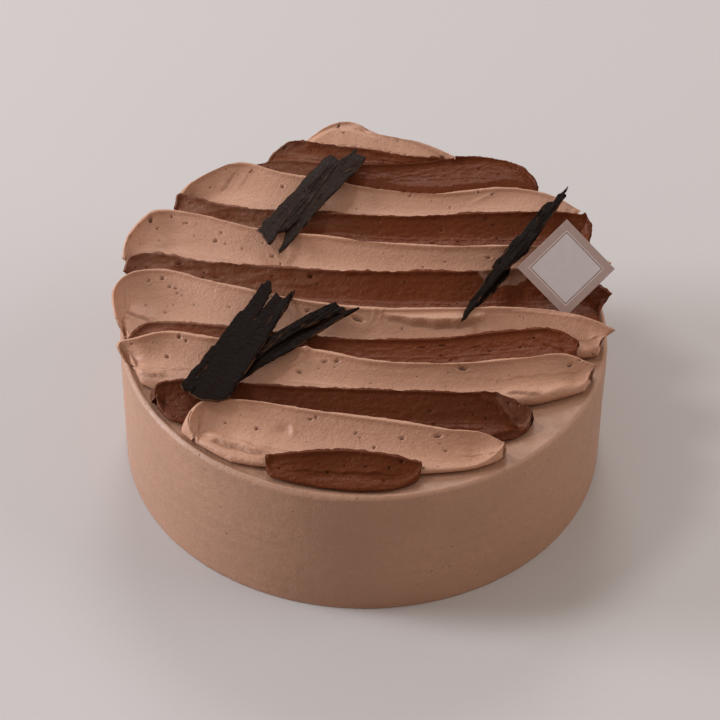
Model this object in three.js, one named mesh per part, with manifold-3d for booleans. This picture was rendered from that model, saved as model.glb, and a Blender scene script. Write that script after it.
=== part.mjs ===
// Round chocolate cream layer cake: a smoothly coated body, thirteen overlapping palette-knife
// strokes of light and dark cream, thin chocolate flakes laid over their crests, and a plain card.
// Millimetres, +Z up, origin at the centre of the flat foot, +X along the strokes to the right.
import * as THREE from 'three';
import { mergeVertices } from 'three/addons/utils/BufferGeometryUtils.js';
import Module from 'manifold-3d';

const wasm = await Module();
wasm.setup();

// ---- Driving dimensions ----
const BODY_RADIUS = 75;
const BODY_HEIGHT = 46.6;
const RIM_ROUND = 2.6; // radius of the rounded top edge
const FOOT_ROUND = 0.8; // radius of the foot's edge
const BODY_SEGMENTS = 60;
const GAP = 0.3; // air between neighbouring solids
const FOOTPRINT_RADIUS = BODY_RADIUS - RIM_ROUND - 0.2; // strokes stand inside this circle
const FLAKE_THICKNESS = 1.1;
const CARD_SIDE = 21.2;
const CARD_THICKNESS = 0.6;
const CARD_LEAN = 42.3; // degrees from upright
const CARD_BOTTOM_CORNER = [61.7, 2.1, 2.9]; // x, y and height over the body's top

// ---- Creams: colours, and how far the face of a stroke falls from its crest ----
const CREAMS = {
  light: { color: '#a97f68', roughness: 0.55, creaseDrop: 4.8, frontDrop: 7.2, creaseAt: 0.6, back: 2.4 },
  dark: { color: '#593020', roughness: 0.42, creaseDrop: 3.0, frontDrop: 4.8, creaseAt: 0.62, back: 1.8 },
};

// ---- Strokes, laid from the far side to the near side ----
// crest: x, y and height over the body's top, from the front left corner, round the lobe at the
// left end and along the back to the tip at the right. bulge: how far the front edge stands
// forward of the straight line between the two ends. fall: how steep the face is, 1 where absent.
const STROKES = [
  { name: 'stroke_light_6', cream: 'light', bulge: 3, fall: 1.3,
    crest: [[-22, 71.5, 12], [-17, 74.5, 16], [-12, 77, 18], [-5.5, 78.5, 18.5], [4, 73, 18],
      [17, 69.5, 17], [28.5, 64.5, 15.5]] },
  { name: 'stroke_dark_6a', cream: 'dark', bulge: 6,
    crest: [[-32, 64.2, 12], [-29, 67.4, 14.6], [-24, 70.4, 16], [-12, 69.3, 16.1], [3, 66.7, 16.2],
      [15, 64.7, 15.2], [25, 64.7, 14.7]] },
  { name: 'stroke_dark_6b', cream: 'dark', bulge: 7, fall: 1.6,
    crest: [[-37.5, 60.2, 11.8], [-35.5, 62.4, 13], [-29, 62.8, 14.2], [-12, 61.5, 14.4], [4.5, 61.5, 14.5],
      [20.5, 63.5, 14.5], [36.5, 66.5, 15], [47.5, 63.5, 15], [53.5, 58, 13], [55, 53.5, 10]] },
  { name: 'stroke_light_5', cream: 'light', bulge: 10,
    crest: [[-57.5, 50, 8], [-54, 55.5, 11], [-48.5, 60, 12.5], [-40.5, 63, 13], [-27.5, 59, 12.5],
      [-5, 54, 12], [20.5, 50, 12], [46, 53.5, 12], [60, 50.5, 12], [68, 44.5, 11.5]] },
  { name: 'stroke_dark_5', cream: 'dark', bulge: 21,
    crest: [[-61, 47, 7], [-59.5, 50.3, 9.7], [-46.5, 46, 9.5], [-21, 42.8, 9.7], [11, 41.2, 9.8],
      [36, 43.1, 9.8], [57, 44.4, 10], [70.5, 42, 9.5]] },
  { name: 'stroke_light_4', cream: 'light', bulge: 9,
    crest: [[-75.5, 23, 6], [-74.5, 28, 9.5], [-71, 35, 10.5], [-66, 41, 10.5], [-54, 40, 10.5],
      [-34.5, 34, 10], [-6.5, 29.5, 10], [23, 26.5, 10], [48, 27, 10], [67, 25, 10], [76.5, 20, 9.5]] },
  { name: 'stroke_dark_4', cream: 'dark', bulge: 18,
    crest: [[-75, 19, 4], [-74, 22, 6.5], [-68, 24, 7.5], [-51.5, 21.5, 7], [-20, 18, 7], [17, 17.5, 7],
      [48, 19, 7], [66.5, 17, 7], [76, 8.5, 6.5]] },
  { name: 'stroke_light_3', cream: 'light', bulge: 10,
    crest: [[-73, -9, 3], [-76, -4, 7.5], [-76.5, 5, 9.5], [-72, 12, 9.5], [-61.5, 13.5, 9.5],
      [-44.5, 7.5, 9.5], [-19.5, 0.5, 9.5], [4.5, -2.5, 9], [32, -1.5, 9], [56.5, -2, 9], [70, -6, 8.5],
      [76, -8.5, 7]] },
  { name: 'stroke_dark_3', cream: 'dark', bulge: 14,
    crest: [[-71, -12.5, 4.5], [-66.5, -8, 6], [-57.5, -7.5, 6.5], [-37.5, -9.5, 6.5], [-8, -13.5, 6.5],
      [20, -13, 6.5], [44, -9, 6.5], [57, -8, 6.5], [64.5, -13, 6]] },
  { name: 'stroke_light_2', cream: 'light', bulge: 17,
    crest: [[-71.5, -20.5, 2], [-74, -16.5, 5.5], [-67.5, -16, 8], [-60, -14, 8.5], [-48, -16, 8.5],
      [-21, -19.5, 8.5], [2, -25.5, 8.5], [25.5, -26, 8.5], [46.5, -23.5, 8.5], [59.5, -21, 8],
      [69.5, -24, 6.5]] },
  { name: 'stroke_dark_2', cream: 'dark', bulge: 14,
    crest: [[-61, -36.5, 2.5], [-61, -34, 5], [-55, -33.2, 6.2], [-30.5, -34.5, 6.5], [-1, -36.2, 6.7],
      [28.5, -36.8, 6.8], [40.5, -37.6, 6.6], [49.5, -43, 5.5]] },
  { name: 'stroke_light_1', cream: 'light', bulge: 10.5,
    crest: [[-49, -53, 2], [-50.5, -48.5, 6], [-46.5, -43.5, 8], [-36, -42.5, 8], [-18.5, -46, 8],
      [2, -49.5, 7.5], [22.5, -53, 7.5], [34, -54, 7], [41, -57, 6]] },
  { name: 'stroke_dark_1', cream: 'dark', bulge: 9.5,
    crest: [[-28, -62, 4], [-19.5, -62, 5.5], [-5, -61, 5.5], [8, -62.5, 5.5], [17, -64.5, 4.5]] },
];

// ---- Chocolate flakes: where the near end lies, where the far end lies, and the broken outline,
// with x along the flake from its near end and y to its left ----
const FLAKES = [
  { name: 'flake_back_narrow', near: [-26.9, 24.4, 8.9], far: [-2.1, 65.5, 17.6],
    outline: [[-1.3, -1], [-0.5, -0.2], [4, 0.7], [8, 2.2], [12, 2.3], [22, 2.2], [28, 2], [33, 2],
      [39, 2.2], [41.3, 3], [44.5, 1.6], [49, 0.9], [46, 0], [46.2, -3.9], [43.5, -4.3], [38.5, -4.1],
      [34.3, -3.3], [29.8, -3.1], [24.2, -2.4], [17.5, -2], [11.5, -1.8], [5.8, -1.7], [1.2, -1.6]] },
  { name: 'flake_back_wide', near: [-32.4, 29.6, 10.6], far: [-10.5, 65.4, 14.8],
    outline: [[0.2, 0], [1.2, 2.8], [3.2, 2], [5, 3.1], [7.4, 2.9], [8, 2.2], [11.3, 2.4], [16.7, 2.1],
      [21.1, 1.6], [27.4, 1.9], [30.5, 2], [35.8, 1.2], [36.8, 1.8], [41.2, 0.8], [40.5, -4], [33.2, -5.2],
      [27.2, -5.9], [20.1, -6.2], [14.5, -6.3], [9.3, -6.2], [5.6, -5.8], [3.3, -4], [0.5, -4.6],
      [-2.2, -4.8], [-2.3, -3.7], [-1.2, -2]] },
  { name: 'flake_front_wide', near: [-49.1, -40.6, 9], far: [-28.9, 4, 11.2],
    outline: [[-1.6, 1], [-1.2, 3.6], [0.1, 5.2], [3.2, 4.9], [9.5, 4.7], [10, 4.2], [15.3, 4.3],
      [18.5, 4.3], [19.2, 3.7], [28.2, 3.8], [35.5, 3.4], [36.3, 2.8], [42.7, 2.7], [49, 2.9], [49.4, 2.2],
      [51.2, 1.8], [51, 0.4], [47.4, -1.3], [42, -1.9], [38.7, -2.5], [43, -2.7], [47.4, -3.1],
      [46.2, -4.6], [45.4, -6.2], [50.2, -7.2], [45.7, -8.4], [40.9, -8.6], [30.3, -9.4], [19.4, -10],
      [8.5, -10.2], [3, -10.6], [0.4, -10.4], [-1.9, -8.3], [-2.7, -4.5], [-2.4, -1]] },
  { name: 'flake_front_splinter', near: [-28.2, -12.6, 9.4], far: [-20.5, 4.7, 10.9],
    outline: [[0, -0.3], [5.6, -1.2], [10.2, -1], [14.2, -0.7], [18.6, 0.4], [13.9, 0.2], [10.1, 0.5],
      [5.6, 0.3], [1, 0.6]] },
  { name: 'flake_middle_wide', near: [-36.9, -36.2, 8.3], far: [-6.8, -2.7, 11.2],
    outline: [[-0.7, 0.3], [3, 2], [9, 3.9], [11.7, 5.4], [14.8, 6.4], [19, 6.5], [22.7, 6], [27.8, 5.3],
      [32.7, 4.4], [37.7, 3.5], [43.7, 1.5], [43.2, -0.6], [44, -2.2], [43.6, -3.4], [37.2, -1.2],
      [29.2, 0.9], [22.9, 1.9], [16.6, 2.4], [8.1, 2.2], [3, 0.9]] },
  { name: 'flake_middle_narrow', near: [-36.8, -36.4, 7.8], far: [-6.4, -2.7, 10.8],
    outline: [[-0.6, 0.9], [0, 2], [8.5, 4.1], [17, 4.1], [23.3, 3.5], [29.6, 2.4], [37.6, -0.3],
      [43, -2.6], [47.4, -5.3], [42.7, -4.6], [36.1, -3.3], [30.9, -2.7], [25.4, -2.4], [20.4, -1.7],
      [15.8, -0.6], [10.7, 0], [5.4, 0.3]] },
  { name: 'flake_right', near: [29.3, -7.4, 8.9], far: [62.3, 50.9, 14.1],
    outline: [[-0.9, -0.4], [3.7, 1], [8.9, 1.4], [14.7, 1.5], [20.9, 2], [24, 2], [24.6, 2.7], [28.9, 3],
      [29.3, 2.5], [35.8, 2.5], [41, 2.3], [41.4, 1.8], [48, 1.8], [53, 1.5], [56.5, 1.5], [59.1, 0.9],
      [60.2, -0.5], [63.7, -0.1], [64.8, -0.8], [68.8, -1.3], [66.5, -1.9], [65.2, -1.8], [64.6, -2.8],
      [60.6, -2.9], [56, -3.2], [51.3, -3.1], [45.2, -3.4], [39.1, -3.5], [36.2, -3.9], [30.7, -3],
      [27.3, -2.3], [21.8, -1.4], [17.6, -1.2], [12.5, -0.9], [7.2, -1], [1.3, -1]] },
];

// ---- Materials ----
const material = (color, roughness) => new THREE.MeshStandardMaterial({ color, roughness, metalness: 0 });
const creamMaterial = (cream) => material(CREAMS[cream].color, CREAMS[cream].roughness);
const chocolateMaterial = () => material('#251c18', 0.5);
const cardMaterial = () => material('#a3958f', 0.35);

// ---- Solids ----
function toManifold(geometry) {
  const bare = geometry.clone();
  bare.deleteAttribute('normal');
  bare.deleteAttribute('uv');
  const merged = mergeVertices(bare, 1e-4);
  const vertProperties = new Float32Array(merged.attributes.position.array);
  const triVerts = new Uint32Array(merged.index.array);
  return new wasm.Manifold(new wasm.Mesh({ numProp: 3, vertProperties, triVerts }));
}

function toGeometry(solid) {
  const mesh = solid.getMesh();
  const geometry = new THREE.BufferGeometry();
  geometry.setAttribute('position', new THREE.BufferAttribute(new Float32Array(mesh.vertProperties), 3));
  geometry.setIndex(new THREE.BufferAttribute(new Uint32Array(mesh.triVerts), 1));
  geometry.computeVertexNormals();
  return geometry;
}

// Cutting can leave crumbs behind a crest, so only the largest piece is kept.
function largestPiece(solid) {
  const pieces = solid.decompose();
  pieces.sort((a, b) => b.volume() - a.volume());
  return pieces[0];
}

// ---- Body ----
function arcPoints(centerX, centerY, radius, fromDegrees, toDegrees, steps) {
  const points = [];
  for (let i = 0; i <= steps; i += 1) {
    const angle = THREE.MathUtils.degToRad(fromDegrees + ((toDegrees - fromDegrees) * i) / steps);
    points.push(new THREE.Vector2(centerX + radius * Math.cos(angle), centerY + radius * Math.sin(angle)));
  }
  return points;
}

function bodyGeometry() {
  const foot = arcPoints(BODY_RADIUS - FOOT_ROUND, FOOT_ROUND, FOOT_ROUND, -90, 0, 2);
  const rim = arcPoints(BODY_RADIUS - RIM_ROUND, BODY_HEIGHT - RIM_ROUND, RIM_ROUND, 0, 90, 5);
  const profile = [new THREE.Vector2(0, 0), ...foot, ...rim, new THREE.Vector2(0, BODY_HEIGHT)];
  const geometry = new THREE.LatheGeometry(profile, BODY_SEGMENTS);
  geometry.rotateX(Math.PI / 2);
  return geometry;
}

// ---- Strokes ----
// A point on the body's top moved in until it stands inside the footprint circle.
function onBody(x, y, grow) {
  const limit = FOOTPRINT_RADIUS + grow;
  const scale = Math.min(1, limit / Math.hypot(x, y));
  return [x * scale, y * scale];
}

// The closed section of a stroke at one station: back foot, back wall, crest, face, crease,
// front band, front foot. grow swells it, for cutting the strokes that are laid over it.
function strokeSection(curve, ends, stroke, u, grow) {
  const cream = CREAMS[stroke.cream];
  const crest = curve.getPointAt(u);
  const along = curve.getTangentAt(u).setZ(0).normalize();
  const outX = -along.y;
  const outY = along.x;
  const reach = ((crest.x - ends.cornerX) * ends.dirX + (crest.y - ends.cornerY) * ends.dirY) / ends.length;
  const progress = THREE.MathUtils.lerp(THREE.MathUtils.clamp(reach, 0, 1), u, 0.05);
  const forward = stroke.bulge * Math.pow(4 * progress * (1 - progress) + 1e-4, 0.4) + grow;
  const lengthwise = progress * (ends.length + 2 * grow) - grow;
  const [frontX, frontY] = onBody(
    ends.cornerX + ends.dirX * lengthwise + ends.dirY * forward,
    ends.cornerY + ends.dirY * lengthwise - ends.dirX * forward,
    grow,
  );
  const behind = cream.back + grow;
  const [backX, backY] = onBody(crest.x + outX * behind, crest.y + outY * behind, grow);
  const span = Math.hypot(frontX - crest.x, frontY - crest.y);
  const fullness = (stroke.fall ?? 1) * Math.min(1, span / 9);
  const top = BODY_HEIGHT + GAP;
  const base = top - grow;
  const high = crest.z + grow;
  const face = (t, drop) => [
    THREE.MathUtils.lerp(crest.x, frontX, t),
    THREE.MathUtils.lerp(crest.y, frontY, t),
    top + Math.max(high - drop * fullness, 0.9),
  ];
  const wall = (t, bow) => [
    THREE.MathUtils.lerp(backX, crest.x + outX * grow, t) + outX * bow,
    THREE.MathUtils.lerp(backY, crest.y + outY * grow, t) + outY * bow,
    THREE.MathUtils.lerp(base, top + high, t),
  ];
  return [
    wall(0, 0),
    wall(0.55, 0.5),
    wall(0.93, 0.35),
    face(0, 0),
    face(0.08, cream.creaseDrop * 0.3),
    face(0.3, cream.creaseDrop * 0.72),
    face(cream.creaseAt, cream.creaseDrop),
    face(0.86, THREE.MathUtils.lerp(cream.creaseDrop, cream.frontDrop, 0.35)),
    face(1, cream.frontDrop),
    [frontX, frontY, base],
  ];
}

function strokeGeometry(stroke, grow) {
  const places = stroke.crest.map((place) => new THREE.Vector3(...place));
  const curve = new THREE.CatmullRomCurve3(places, false, 'centripetal');
  const [corner, tip] = [stroke.crest[0], stroke.crest[stroke.crest.length - 1]];
  const length = Math.hypot(tip[0] - corner[0], tip[1] - corner[1]);
  const ends = {
    cornerX: corner[0],
    cornerY: corner[1],
    dirX: (tip[0] - corner[0]) / length,
    dirY: (tip[1] - corner[1]) / length,
    length,
  };
  const stations = Math.max(8, Math.round(curve.getLength() / 7));
  const positions = [];
  const indices = [];
  let ring = 0;
  for (let i = 0; i <= stations; i += 1) {
    const section = strokeSection(curve, ends, stroke, i / stations, grow);
    ring = section.length;
    section.forEach((point) => positions.push(...point));
  }
  for (let i = 0; i < stations; i += 1) {
    for (let j = 0; j < ring; j += 1) {
      const next = (j + 1) % ring;
      const [a, b, c, d] = [i * ring + j, i * ring + next, (i + 1) * ring + next, (i + 1) * ring + j];
      indices.push(a, b, d, b, c, d);
    }
  }
  for (let j = 1; j < ring - 1; j += 1) {
    const last = stations * ring;
    indices.push(0, j + 1, j, last, last + j, last + j + 1);
  }
  const geometry = new THREE.BufferGeometry();
  geometry.setAttribute('position', new THREE.Float32BufferAttribute(positions, 3));
  geometry.setIndex(indices);
  return geometry;
}

// ---- Flakes and card ----
function flakeGeometry(flake, grow) {
  const shape = new THREE.Shape(flake.outline.map(([x, y]) => new THREE.Vector2(x, y)));
  const geometry = new THREE.ExtrudeGeometry(shape, { depth: FLAKE_THICKNESS, bevelEnabled: false });
  const center = new THREE.Vector3(24, 0, FLAKE_THICKNESS / 2);
  geometry.translate(-center.x, -center.y, -center.z);
  const swell = 1 + (2 * grow) / 4;
  geometry.scale(1 + grow / 20, swell, (FLAKE_THICKNESS + 2 * grow) / FLAKE_THICKNESS);
  geometry.translate(center.x, center.y, 0);
  return geometry;
}

function flakeMatrix(flake) {
  const lift = new THREE.Vector3(0, 0, BODY_HEIGHT);
  const near = new THREE.Vector3(...flake.near).add(lift);
  const along = new THREE.Vector3(...flake.far).add(lift).sub(near).normalize();
  const left = new THREE.Vector3(0, 0, 1).cross(along).normalize();
  const matrix = new THREE.Matrix4().makeBasis(along, left, along.clone().cross(left));
  return matrix.setPosition(near);
}

function cardGeometry(grow) {
  return new THREE.BoxGeometry(CARD_SIDE + 2 * grow, CARD_SIDE + 2 * grow, CARD_THICKNESS + 2 * grow);
}

function cardMatrix() {
  const lean = THREE.MathUtils.degToRad(CARD_LEAN);
  const up = new THREE.Vector3(0, Math.sin(lean), Math.cos(lean));
  const facing = new THREE.Vector3(0, -Math.cos(lean), Math.sin(lean));
  const matrix = new THREE.Matrix4().makeBasis(new THREE.Vector3(1, 0, 0), up, facing);
  const [x, y, height] = CARD_BOTTOM_CORNER;
  const center = new THREE.Vector3(x, y, BODY_HEIGHT + height).addScaledVector(up, CARD_SIDE / Math.SQRT2);
  return matrix.setPosition(center).multiply(new THREE.Matrix4().makeRotationZ(Math.PI / 4));
}

// ---- Assembly ----
const cake = new THREE.Group();

function addMesh(name, geometry, meshMaterial) {
  const mesh = new THREE.Mesh(geometry, meshMaterial);
  mesh.name = name;
  cake.add(mesh);
  return mesh;
}

addMesh('body', bodyGeometry(), creamMaterial('light'));

const cardSolid = (grow) => toManifold(cardGeometry(grow).applyMatrix4(cardMatrix()));
const flakeSolid = (flake, grow) => toManifold(flakeGeometry(flake, grow).applyMatrix4(flakeMatrix(flake)));

// Each piece is cut back from the ones before it in its list, which keeps GAP between them.
function cutBack(solid, cutters) {
  return largestPiece(cutters.reduce((rest, cutter) => rest.subtract(cutter), solid));
}

const flakeCutters = [];
FLAKES.forEach((flake) => {
  addMesh(flake.name, toGeometry(cutBack(flakeSolid(flake, 0), flakeCutters)), chocolateMaterial());
  flakeCutters.push(flakeSolid(flake, GAP), flakeSolid(flake, 0));
});

const strokeCutters = [...flakeCutters, cardSolid(GAP)];
STROKES.forEach((stroke) => {
  const solid = cutBack(toManifold(strokeGeometry(stroke, 0)), strokeCutters);
  addMesh(stroke.name, toGeometry(solid), creamMaterial(stroke.cream));
  strokeCutters.push(toManifold(strokeGeometry(stroke, GAP)), toManifold(strokeGeometry(stroke, 0)));
});

addMesh('card', cardGeometry(0), cardMaterial()).applyMatrix4(cardMatrix());

export default cake;
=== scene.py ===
"""Looks of the chocolate cream layer cake: coat, knife strokes, flakes and card, built round the frame."""
import math

import bpy
import numpy as np
from mathutils import Matrix, Vector


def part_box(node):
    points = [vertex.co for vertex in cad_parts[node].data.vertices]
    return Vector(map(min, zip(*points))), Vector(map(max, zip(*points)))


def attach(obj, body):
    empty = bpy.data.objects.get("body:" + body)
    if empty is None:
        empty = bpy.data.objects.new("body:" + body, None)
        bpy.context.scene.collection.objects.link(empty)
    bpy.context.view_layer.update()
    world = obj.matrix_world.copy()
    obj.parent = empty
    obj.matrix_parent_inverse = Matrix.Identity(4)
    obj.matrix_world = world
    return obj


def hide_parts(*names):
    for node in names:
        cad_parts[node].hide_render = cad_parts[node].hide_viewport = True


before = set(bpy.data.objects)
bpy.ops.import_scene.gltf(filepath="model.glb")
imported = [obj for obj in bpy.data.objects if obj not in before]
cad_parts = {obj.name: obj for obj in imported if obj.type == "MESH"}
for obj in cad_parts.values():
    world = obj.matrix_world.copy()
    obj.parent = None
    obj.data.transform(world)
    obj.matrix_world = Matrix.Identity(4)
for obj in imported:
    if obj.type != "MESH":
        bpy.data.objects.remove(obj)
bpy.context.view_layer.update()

MM = 0.001

# ---- Sizes taken from the frame, in millimetres ----
body_low, body_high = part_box("body")
BODY_RADIUS = (body_high.x - body_low.x) / 2 / MM
BODY_HEIGHT = body_high.z / MM

# ---- Sizes of the cream, flakes and card, in millimetres and degrees, the same as the solids' ----
RIM_ROUND = 2.6
FOOT_ROUND = 0.8
GAP = 0.3
FLAKE_THICKNESS = 1.1
CARD_SIDE = 21.2
CARD_THICKNESS = 0.6
CARD_LEAN = 42.3  # back from upright
CARD_BOTTOM_CORNER = (61.7, 2.1, 2.9)  # x, y and height over the body's top

# back: how far the wall behind a crest leans back. torn: how ragged the crest is. lumps: how uneven the
# face is. band: how far the face falls from its crease to its front edge.
CREAMS = {
    "light": {"back": 2.4, "torn": 0.10, "lumps": 0.03, "band": -0.8},
    "dark": {"back": 1.8, "torn": 0.24, "lumps": 0.10, "band": 0.35},
}

STROKES, FLAKES = {}, {}


def stroke(name, **sizes):
    STROKES[name] = sizes


def flake(name, **sizes):
    FLAKES[name] = sizes


# crest: each stroke's crest from its front left corner, round the left lobe and along the back to the pulled
# tip, as x, y and height over the body's top. bulge: how far the front edge stands forward. drop: how far
# the face falls from the crest to its crease, at the left and the right end. crease: where that lies in
# the face's width. hollow: how early the face falls. tip: how pointed the right end is. The size for
# painted shade: how much shade is painted evenly over the whole stroke.
# Then the marks left by the knife and by bubbles, in plan. pits: x, y, half length, half width and, if not 0,
# turn. swells: x, y, half length, half width, turn, height. peaks: x, y, radius, height.
# folds: from x, y to x, y, height and width of the side that stands up, left of that direction.
# shelves: x, y, half length, depth forward, turn, height of the flat.
# smears of pale cream: x, y, half length, half width, turn, strength.
stroke("light_6", bulge=3, hollow=1.2, drop=(0.2, 0.1), crease=0.5, crest=[(-22, 71.5, 12), (-17, 74.5, 16),
    (-12, 77, 18), (-5.5, 78.5, 18.5), (4, 73, 18), (17, 69.5, 17), (28.5, 64.5, 15.5)],
    pits=[(-9.1, 77.1, 1.5, 0.4, 75), (-7.5, 73.7, 0.65, 0.45), (9.8, 70.5, 0.6, 0.25, -20)],
    swells=[(0.2, 74.9, 2.2, 0.7, -12, -0.7), (-2, 76.2, 2.6, 0.8, -20, 0.35)],
    folds=[(3, 72.3, 15, 69.2, 0.35, 1.6)])
stroke("dark_6a", bulge=6, hollow=1.4, drop=(2.0, 1.6), crease=0.5, crest=[(-32, 64.2, 12), (-29, 67.4, 14.6),
    (-24, 70.4, 16), (-12, 69.3, 16.1), (3, 66.7, 16.2), (15, 64.7, 15.2), (25, 64.7, 14.7)],
    peaks=[(-20.5, 71.3, 0.8, 1.9)], folds=[(-27, 66.5, -20.5, 71, 0.5, 2.5),
    (-22, 68.7, -6, 68.6, 0.4, 1.4)])
stroke("dark_6b", bulge=7, dim=0.1, hollow=1.6, drop=(1.6, 1.2), crease=0.5, crest=[(-37.5, 60.2, 11.8),
    (-35.5, 62.4, 13), (-29, 62.8, 14.2), (-12, 61.5, 14.4), (4.5, 61.5, 14.5), (20.5, 63.5, 14.5),
    (36.5, 66.2, 14.5), (47.5, 63, 14.4), (53.5, 57.6, 12.6), (55, 53.5, 10)],
    swells=[(6, 56.5, 2.2, 1.2, 0, 0.5), (30, 64, 4, 0.7, -5, -0.5), (27, 65.2, 2.6, 0.6, -10, 0.4),
    (24, 63.6, 2.2, 0.5, 15, 0.4)], folds=[(22, 64.6, 33, 65.3, 0.6, 1.3)])
stroke("light_5", bulge=10, hollow=2.1, drop=(5.3, 1.7), crease=0.55, crest=[(-60.5, 49.5, 8.5),
    (-56, 55, 11), (-48.5, 60, 12.5), (-40.5, 63, 13), (-27.5, 59, 12.5), (-5, 54, 12), (20.5, 50, 12),
    (46, 53.5, 12), (60, 50.5, 11), (68, 44.5, 10.2)],
    pits=[(-26.7, 55.2, 0.65, 0.45), (14, 49.5, 0.8, 0.25, 10), (26.8, 46.2, 0.35, 0.3),
    (35.7, 51.4, 0.6, 0.5), (40.2, 51.1, 0.9, 0.3, 30), (-3, 46.5, 0.4, 0.3)],
    swells=[(37.8, 50.1, 3.4, 0.6, 28, 0.35), (-44, 58.5, 4.2, 0.8, 62, -0.55), (-52, 53.5, 3, 1.6, 40, 0.4)],
    folds=[(-47.2, 53.8, -41.2, 62.2, 0.8, 2.6), (-41.5, 55, -37.2, 60.4, 0.25, 1.8)])
stroke("dark_5", bulge=15, hollow=1.6, drop=(2.5, 4.4), crease=0.42, crest=[(-61, 47, 7), (-59.5, 50.3, 9.7),
    (-46.5, 46, 9.5), (-21, 42.8, 9.7), (11, 41.2, 9.8), (36, 43.1, 9.8), (57, 44.4, 10), (69.5, 42.4, 9.7),
    (71.2, 38, 8.2), (70.4, 34, 6)],
    pits=[(41.5, 35.9, 0.5, 0.4), (37.8, 41.5, 1.0, 0.35, 20), (24, 38, 0.4, 0.3), (-20, 40, 1.6, 0.3, -8)],
    peaks=[(-60, 50, 1.2, 0.8), (69.4, 42.5, 0.8, 1.6)])
stroke("light_4", bulge=9, hollow=2.3, drop=(4.6, 5.0), crease=0.57, crest=[(-75.5, 23, 6), (-74.5, 28, 9.5),
    (-71, 35, 10.5), (-66, 41, 10.5), (-54, 40, 10.5), (-34.5, 34, 10), (-6.5, 29.5, 10), (23, 26.5, 10),
    (48, 27, 10), (67, 25, 10), (76.5, 20, 9.5)],
    pits=[(-68.1, 38.1, 1.0, 0.75, 60), (-65.8, 36.2, 0.55, 0.45), (-61.4, 39.9, 0.55, 0.4),
    (-71.3, 33.9, 0.35, 0.3), (-47.1, 31.7, 0.9, 0.55, 10), (-43.9, 30.5, 0.5, 0.3), (-38.5, 28.7, 0.4, 0.35),
    (-28.9, 25.9, 0.9, 0.45), (-26.4, 22.7, 1.7, 0.25, 105), (38.5, 24.5, 1.1, 0.35), (38.5, 20.8, 1.0, 0.35),
    (-32, 30.1, 0.3, 0.25)], swells=[(-62.8, 29.2, 3.2, 1.8, 20, -0.55), (-68.4, 32.6, 2.8, 1.3, 50, 0.35),
    (-56, 33, 6, 2, 10, 0.25)])
stroke("dark_4", bulge=18, hollow=1.5, drop=(4.5, 4.9), crease=0.42, crest=[(-75, 19, 4), (-74, 22, 6.5),
    (-68, 24, 7.5), (-51.5, 21.5, 7), (-20, 18, 7), (17, 17.5, 7), (48, 19, 7), (66.5, 17, 7),
    (76, 8.5, 6.5)],
    pits=[(-17, 16.1, 1.0, 0.5), (12.4, 14.7, 0.45, 0.35), (-50, 18.6, 0.4, 0.3), (-46, 17, 1.8, 0.3, -5),
    (-58, 21, 1.5, 0.35), (30, 13, 0.4, 0.3)], smears=[(43, 19.2, 9.4, 4.9, 0, 1)])
stroke("light_3", bulge=10, hollow=2.2, drop=(5.8, 4.6), crease=0.56, crest=[(-73, -9, 3), (-76, -4, 7.5),
    (-76.5, 5, 9.5), (-72, 12, 9.5), (-61.5, 13.5, 9.5), (-44.5, 7.5, 9.5), (-19.5, 0.5, 9.5), (4.5, -2.5, 9),
    (32, -1.5, 9), (56.5, -2, 9), (70, -6, 8.5), (76, -8.5, 7)],
    pits=[(-62.4, 11.6, 0.8, 0.5), (-60, 9.2, 0.85, 0.4), (-56, 6.2, 0.4, 0.35), (-61, 0.8, 0.9, 0.4, 10),
    (-54.8, -4.2, 1.1, 0.65), (11.5, -7.1, 0.45, 0.4), (-2.1, -4.4, 2.5, 0.6, -14), (-17.4, -2, 1.1, 0.4),
    (-66, 9.5, 0.3, 0.3)], swells=[(3, -3.6, 2.2, 0.35, 60, 0.3), (5.4, -3.6, 2.0, 0.35, 60, 0.3),
    (-68, -3.6, 3, 1.4, -25, 0.4), (-73.2, 4.6, 4.6, 0.4, 96, 0.3)], shelves=[(20, -2.2, 16.5, 4.0, -2, 8.3)],
    folds=[(-73.4, 0.6, -64, -4.4, 1.0, 3.0), (-71.4, 4, -73.8, -3, 0.5, 2.5),
    (34, -7.9, 66, -8.2, 0.35, 1.6), (62, -10.5, 72, -9.0, 0.6, 1.6)])
stroke("dark_3", bulge=14, hollow=1.5, drop=(1.4, 1.6), crease=0.5, crest=[(-71, -12.5, 4.5), (-66.5, -8, 6),
    (-57.5, -7.5, 6.5), (-37.5, -9.5, 6.5), (-8, -13.5, 6.5), (20, -13, 6.5), (44, -9, 6.5), (57, -8, 6.5),
    (64.5, -13, 6)],
    pits=[(17.5, -15.8, 1.6, 0.3, 8), (23.5, -14.9, 1.4, 0.3, 5), (47.1, -14.4, 0.45, 0.35),
    (51.4, -10.9, 0.5, 0.4), (34.1, -14.7, 1.8, 0.25, 5)], folds=[(50, -11.2, 64, -17, 0.5, 3.0)])
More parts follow.
